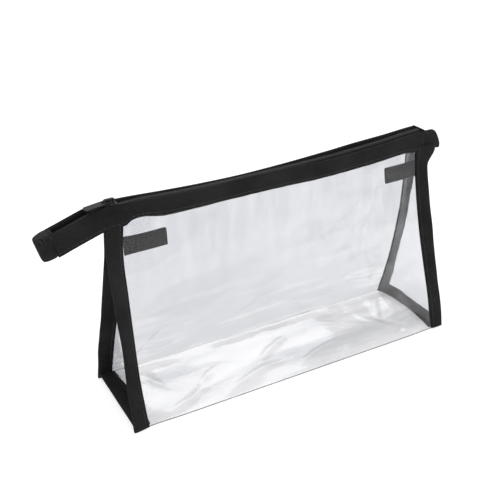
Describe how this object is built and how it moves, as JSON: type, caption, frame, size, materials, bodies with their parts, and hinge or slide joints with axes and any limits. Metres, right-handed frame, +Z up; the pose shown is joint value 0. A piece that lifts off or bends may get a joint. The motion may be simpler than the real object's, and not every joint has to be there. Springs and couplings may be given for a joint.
{
  "type": "clear makeup bag",
  "caption": "Clear vinyl zip-top makeup bag, triangular ends, black nylon bindings, zip with slider and pull, drooping zip tail and two inner grip loops.",
  "frame": {"origin": "middle of the base on the surface the bag stands on", "axes": "+X along the zip toward its short end, -Y out of the front wall, +Z up"},
  "size_m": [0.2972, 0.063, 0.1436],
  "materials": {
    "clear_film": "clear soft vinyl film, glossy, lightly wrinkled",
    "binding_tape": "black woven nylon binding, fine cross ribs",
    "zip_tape": "black twill zip tape",
    "webbing": "black grosgrain webbing",
    "zip_coil": "black nylon coil",
    "slider_metal": "black enamelled zinc, worn at its edges"
  },
  "bodies": {
    "shell": {"base_sheet": "clear_film", "left_gusset": "clear_film", "right_gusset": "clear_film", "front_left_binding": "binding_tape", "front_right_binding": "binding_tape", "rear_left_binding": "binding_tape", "rear_right_binding": "binding_tape", "left_base_binding": "binding_tape", "right_base_binding": "binding_tape", "left_hem_ends": "binding_tape", "left_zip_tape_ends": "zip_tape", "left_coil_ends": "zip_coil", "right_hem_ends": "binding_tape", "right_zip_tape_ends": "zip_tape", "right_coil_ends": "zip_coil", "right_cap": "binding_tape"},
    "front_wall": {"front_window": "clear_film", "front_hem": "binding_tape", "front_zip_tape": "zip_tape", "front_coil": "zip_coil"},
    "rear_wall": {"rear_window": "clear_film", "rear_hem": "binding_tape", "rear_zip_tape": "zip_tape", "rear_coil": "zip_coil"},
    "slider": {"slider_body": "slider_metal", "slider_bridge": "slider_metal"},
    "pull": {"pull_tab": "slider_metal"},
    "tail": {"tail_hem": "binding_tape", "tail_zip_tape": "zip_tape", "tail_coil": "zip_coil", "tail_cap": "binding_tape"},
    "left_loop": {"left_grip_loop": "webbing"},
    "right_loop": {"right_grip_loop": "webbing"}
  },
  "joints": [
    {"name": "front_wall_open", "type": "hinge", "parent": "shell", "child": "front_wall", "pos_m": [0, -0.031, 0.0003], "axis": [1, 0, 0], "range_deg": [0, 12], "stiffness_Nm_per_rad": 0.02},
    {"name": "rear_wall_open", "type": "hinge", "parent": "shell", "child": "rear_wall", "pos_m": [0, 0.031, 0.0003], "axis": [-1, 0, 0], "range_deg": [0, 12], "stiffness_Nm_per_rad": 0.02},
    {"name": "slider_run", "type": "slide", "parent": "shell", "child": "slider", "axis": [0.9971, 0.0758, 0], "range_m": [0, 0.2265]},
    {"name": "pull_flip", "type": "hinge", "parent": "slider", "child": "pull", "pos_m": [-0.116, -0.00562, 0.1419], "axis": [-0.0758, 0.9971, 0], "range_deg": [0, 170]},
    {"name": "tail_bend", "type": "hinge", "parent": "shell", "child": "tail", "pos_m": [-0.123, -0.00615, 0.141], "axis": [0, -1, 0], "range_deg": [-10, 35], "stiffness_Nm_per_rad": 0.03},
    {"name": "left_loop_fold", "type": "hinge", "parent": "shell", "child": "left_loop", "pos_m": [-0.1078, -0.01133, 0.115], "axis": [0, 0.1514, 0.9885], "range_deg": [0, 25], "stiffness_Nm_per_rad": 0.004},
    {"name": "right_loop_fold", "type": "hinge", "parent": "shell", "child": "right_loop", "pos_m": [0.1078, 0.00147, 0.115], "axis": [0, -0.2557, -0.9667], "range_deg": [0, 25], "stiffness_Nm_per_rad": 0.004}
  ]
}
